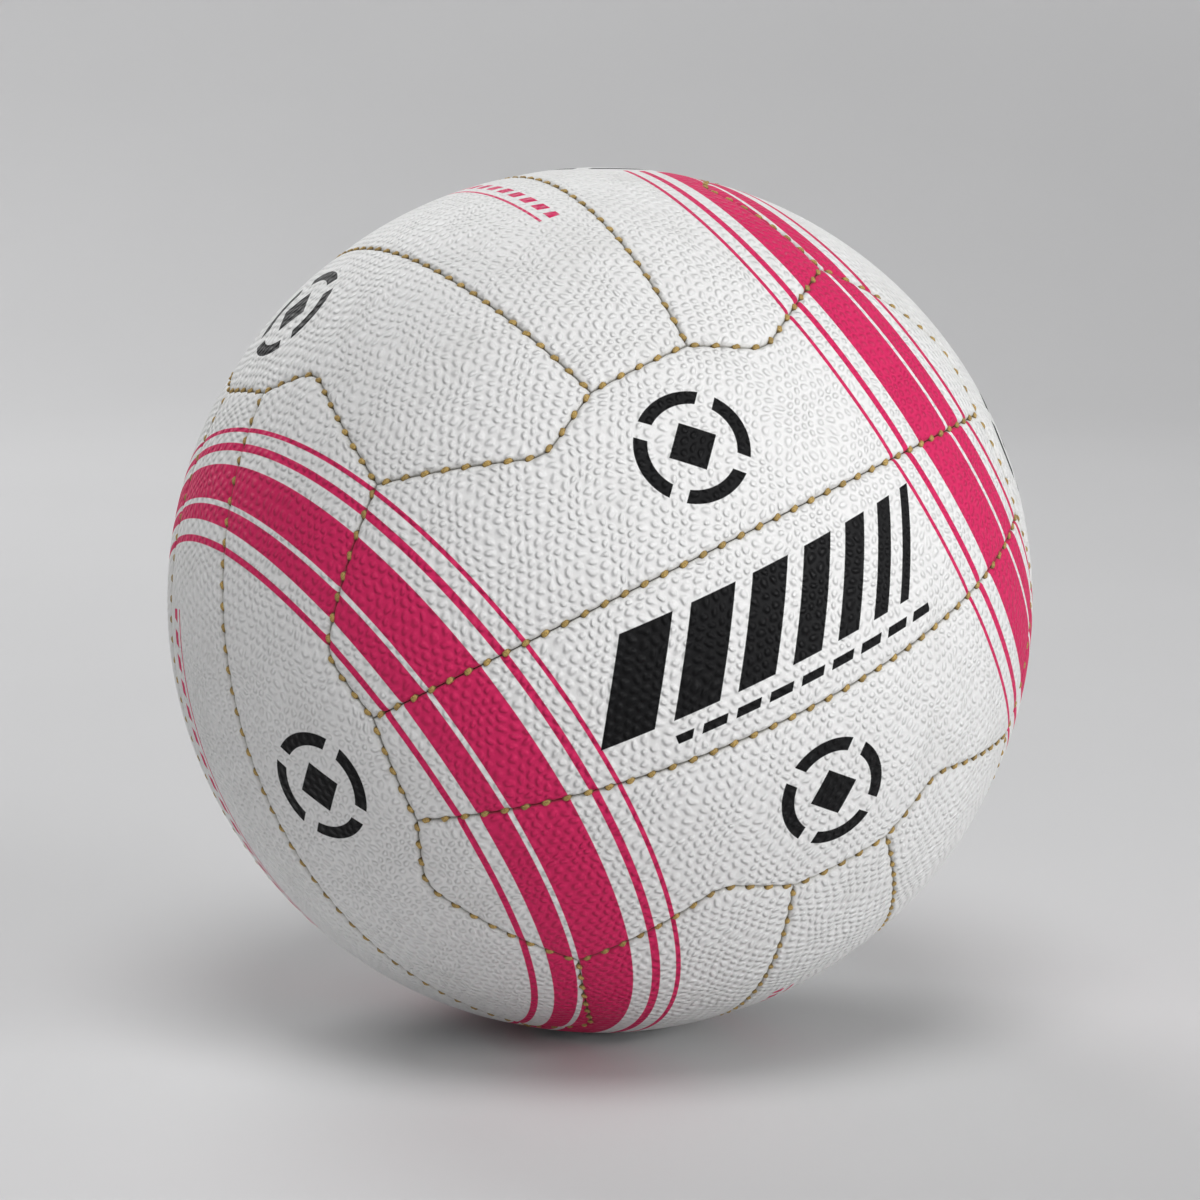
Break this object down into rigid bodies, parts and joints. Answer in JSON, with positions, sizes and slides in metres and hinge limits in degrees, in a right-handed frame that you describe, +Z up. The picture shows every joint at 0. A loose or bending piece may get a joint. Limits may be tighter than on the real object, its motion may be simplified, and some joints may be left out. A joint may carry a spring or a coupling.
{
  "type": "netball",
  "caption": "Round inflated ball of stitched rubber strip panels in crossing groups, with a pebbled skin, recessed seams and a flush inflation valve.",
  "frame": {"origin": "the ball's centre", "axes": "+Z up as the ball lies in the picture, -Y towards the viewer and +X to the viewer's right; the valve faces away from the viewer, near +Y"},
  "size_m": [0.222, 0.222, 0.222],
  "materials": {
    "cover_rubber": "satin, pebbled, printed in pink and black",
    "lining_cloth": "matt woven",
    "seam_thread": "waxed",
    "bladder_rubber": "matt",
    "valve_rubber": "satin",
    "core_rubber": "satin",
    "patch_cloth": "matt woven"
  },
  "bodies": {
    "root": {"cover_front_upper": "cover_rubber", "cover_front_middle": "cover_rubber", "cover_front_lower": "cover_rubber", "cover_back_lower": "cover_rubber", "cover_back_middle": "cover_rubber", "cover_back_upper": "cover_rubber", "cover_right_front": "cover_rubber", "cover_right_middle": "cover_rubber", "cover_right_back": "cover_rubber", "cover_left_back": "cover_rubber", "cover_left_middle": "cover_rubber", "cover_left_front": "cover_rubber", "cover_top_right": "cover_rubber", "cover_top_middle": "cover_rubber", "cover_top_left": "cover_rubber", "cover_bottom_left": "cover_rubber", "cover_bottom_middle": "cover_rubber", "cover_bottom_right": "cover_rubber", "lining_front_upper": "lining_cloth", "lining_front_middle": "lining_cloth", "lining_front_lower": "lining_cloth", "lining_back_lower": "lining_cloth", "lining_back_middle": "lining_cloth", "lining_back_upper": "lining_cloth", "lining_right_front": "lining_cloth", "lining_right_middle": "lining_cloth", "lining_right_back": "lining_cloth", "lining_left_back": "lining_cloth", "lining_left_middle": "lining_cloth", "lining_left_front": "lining_cloth", "lining_top_right": "lining_cloth", "lining_top_middle": "lining_cloth", "lining_top_left": "lining_cloth", "lining_bottom_left": "lining_cloth", "lining_bottom_middle": "lining_cloth", "lining_bottom_right": "lining_cloth", "seam_thread_front": "seam_thread", "seam_thread_back": "seam_thread", "seam_thread_right": "seam_thread", "seam_thread_left": "seam_thread", "seam_thread_top": "seam_thread", "seam_thread_bottom": "seam_thread", "bladder": "bladder_rubber", "valve_body": "valve_rubber", "valve_core": "core_rubber", "valve_patch": "patch_cloth", "balance_patch": "bladder_rubber"}
  },
  "joints": []
}
